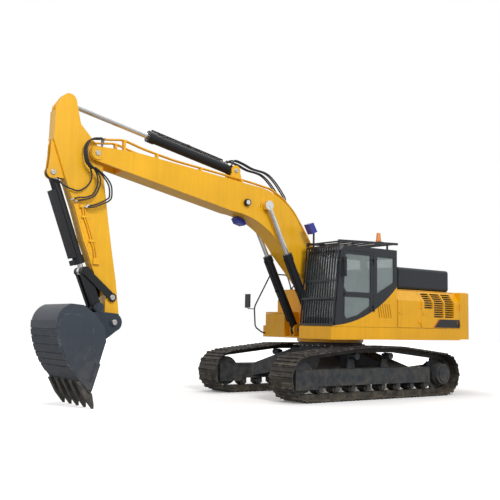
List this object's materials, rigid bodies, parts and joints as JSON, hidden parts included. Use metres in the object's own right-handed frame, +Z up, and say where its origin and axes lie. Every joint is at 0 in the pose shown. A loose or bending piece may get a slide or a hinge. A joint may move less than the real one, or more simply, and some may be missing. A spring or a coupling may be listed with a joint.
{
  "type": "crawler excavator",
  "caption": "Tracked hydraulic excavator with swing house, guarded cab, one-piece boom, arm and toothed bucket on pinned cylinders and links.",
  "frame": {"origin": "on the swing axis at ground level", "axes": "+X forward along the boom, +Y to the cab side, +Z up"},
  "size_m": [10.2568, 3.29, 5.5799],
  "materials": {
    "yellow_paint": "satin",
    "yellow_boom": "satin",
    "black_paint": "satin",
    "undercarriage_grey": "matt",
    "track_steel": "worn",
    "bucket_grey": "matt",
    "rod_chrome": "polished",
    "pin_steel": "machined",
    "cab_glass": "clear",
    "guard_black": "satin",
    "seat_cloth": "woven",
    "cab_plastic": "grained",
    "engine_iron": "matt",
    "beacon_amber": "clear",
    "hose_rubber": "matt",
    "lamp_blue": "clear",
    "tooth_steel": "worn"
  },
  "bodies": {
    "undercarriage": {"car_body": "undercarriage_grey", "swing_bearing": "pin_steel", "track_frames": "undercarriage_grey", "track_left": "track_steel", "track_right": "track_steel", "idlers": "undercarriage_grey", "sprockets": "undercarriage_grey", "final_drives": "undercarriage_grey", "bottom_rollers": "undercarriage_grey", "carrier_rollers": "undercarriage_grey"},
    "house": {"revolving_frame": "yellow_paint", "foot_pins": "pin_steel", "counterweight": "yellow_paint", "body_covers": "yellow_paint", "power_pack": "engine_iron", "fuel_tank": "yellow_paint", "hydraulic_tank": "yellow_paint", "toolbox": "yellow_paint", "cab_shell": "black_paint", "cab_glass": "cab_glass", "cab_side_panel": "yellow_paint", "front_guard": "guard_black", "roof_guard": "guard_black", "operator_seat": "seat_cloth", "seat_stand": "cab_plastic", "handrails": "guard_black", "mirrors": "guard_black", "cab_lamp": "lamp_blue", "beacon": "beacon_amber"},
    "cab_door": {"cab_door": "black_paint", "cab_door_glass": "cab_glass"},
    "service_door_left_a": {"service_door_left_a": "yellow_paint"},
    "service_door_left_b": {"service_door_left_b": "yellow_paint"},
    "pump_door_right": {"pump_door_right": "yellow_paint"},
    "engine_hood": {"engine_hood": "black_paint"},
    "toolbox_lid": {"toolbox_lid": "yellow_paint"},
    "boom": {"boom": "yellow_boom", "boom_pins": "pin_steel", "boom_pipes": "yellow_boom", "arm_cylinder_hoses": "hose_rubber", "boom_lamps": "lamp_blue"},
    "boom_cylinder_barrels": {"boom_cylinder_barrels": "black_paint"},
    "boom_cylinder_rods": {"boom_cylinder_rods": "rod_chrome"},
    "arm_cylinder_barrel": {"arm_cylinder_barrel": "black_paint"},
    "arm_cylinder_rod": {"arm_cylinder_rod": "rod_chrome"},
    "arm": {"arm": "yellow_boom", "arm_pins": "pin_steel", "arm_pipes": "yellow_boom", "arm_hoses": "hose_rubber"},
    "bucket_cylinder_barrel": {"bucket_cylinder_barrel": "black_paint"},
    "bucket_cylinder_rod": {"bucket_cylinder_rod": "rod_chrome"},
    "idler_links": {"idler_links": "black_paint"},
    "bucket_link": {"bucket_link": "black_paint"},
    "bucket": {"bucket": "bucket_grey", "bucket_teeth": "tooth_steel"}
  },
  "joints": [
    {"name": "swing", "type": "hinge", "parent": "undercarriage", "child": "house", "pos_m": [0, 0, 1.14], "axis": [0, 0, 1], "continuous": true},
    {"name": "boom_hinge", "type": "hinge", "parent": "house", "child": "boom", "pos_m": [0.14, 0, 1.866], "axis": [0, -1, 0], "range_deg": [-60, 36]},
    {"name": "arm_hinge", "type": "hinge", "parent": "boom", "child": "arm", "pos_m": [5.945, 0, 4.535], "axis": [0, 1, 0], "range_deg": [-98, 6], "deforming": ["arm_hoses"]},
    {"name": "bucket_hinge", "type": "hinge", "parent": "arm", "child": "bucket", "pos_m": [5.49, 0, 1.478], "axis": [0, 1, 0], "range_deg": [-8, 155]},
    {"name": "boom_barrel_swing", "type": "hinge", "parent": "house", "child": "boom_cylinder_barrels", "pos_m": [0.735, 0, 1.4], "axis": [0, -1, 0], "range_deg": [-61, 37]},
    {"name": "boom_rod_slide", "type": "slide", "parent": "boom_cylinder_barrels", "child": "boom_cylinder_rods", "axis": [0.4629, 0, 0.8864], "range_m": [-0.705, 0.43]},
    {"name": "arm_barrel_swing", "type": "hinge", "parent": "boom", "child": "arm_cylinder_barrel", "pos_m": [2.77, 0, 4.67], "axis": [0, 1, 0], "range_deg": [-2, 1]},
    {"name": "arm_rod_slide", "type": "slide", "parent": "arm_cylinder_barrel", "child": "arm_cylinder_rod", "axis": [0.98, 0, 0.199], "range_m": [-1.58, 0.11]},
    {"name": "idler_swing", "type": "hinge", "parent": "arm", "child": "idler_links", "pos_m": [5.512, 0, 1.929], "axis": [0, 1, 0], "range_deg": [-6, 93]},
    {"name": "link_swing", "type": "hinge", "parent": "idler_links", "child": "bucket_link", "pos_m": [6.05, 0, 2.386], "axis": [0, 1, 0], "range_deg": [-56, 4]},
    {"name": "bucket_barrel_swing", "type": "hinge", "parent": "arm", "child": "bucket_cylinder_barrel", "pos_m": [6.7, 0, 4.11], "axis": [0, 1, 0], "range_deg": [-10, 1.5]},
    {"name": "bucket_rod_slide", "type": "slide", "parent": "bucket_cylinder_barrel", "child": "bucket_cylinder_rod", "axis": [-0.3528, 0, -0.9357], "range_m": [-0.06, 0.97]},
    {"name": "cab_door_hinge", "type": "hinge", "parent": "house", "child": "cab_door", "pos_m": [0.1, 1.475, 2.3], "axis": [0, 0, 1], "range_deg": [0, 165]},
    {"name": "service_door_left_a_hinge", "type": "hinge", "parent": "house", "child": "service_door_left_a", "pos_m": [-1.393, 1.475, 1.8], "axis": [0, 0, 1], "range_deg": [0, 110]},
    {"name": "service_door_left_b_hinge", "type": "hinge", "parent": "house", "child": "service_door_left_b", "pos_m": [-2.73, 1.475, 1.8], "axis": [0, 0, 1], "range_deg": [0, 110]},
    {"name": "pump_door_right_hinge", "type": "hinge", "parent": "house", "child": "pump_door_right", "pos_m": [-2.73, -1.475, 1.8], "axis": [0, 0, -1], "range_deg": [0, 110]},
    {"name": "hood_hinge", "type": "hinge", "parent": "house", "child": "engine_hood", "pos_m": [-2.762, 0.1, 2.352], "axis": [0, -1, 0], "range_deg": [0, 55]},
    {"name": "toolbox_lid_hinge", "type": "hinge", "parent": "house", "child": "toolbox_lid", "pos_m": [0.397, -1.01, 1.775], "axis": [0, -1, 0], "range_deg": [0, 70]}
  ],
  "couplings": [
    {"joint": "boom_barrel_swing", "follows": "boom_hinge", "ratio": 1},
    {"joint": "boom_rod_slide", "follows": "boom_hinge", "m_per_rad": 0.6646},
    {"joint": "arm_barrel_swing", "follows": "arm_hinge", "ratio": 0.012},
    {"joint": "arm_rod_slide", "follows": "arm_hinge", "m_per_rad": 0.92},
    {"joint": "idler_swing", "follows": "bucket_hinge", "ratio": 0.592},
    {"joint": "link_swing", "follows": "bucket_hinge", "ratio": -0.3477},
    {"joint": "bucket_barrel_swing", "follows": "bucket_hinge", "ratio": -0.0563},
    {"joint": "bucket_rod_slide", "follows": "bucket_hinge", "m_per_rad": 0.3485}
  ]
}
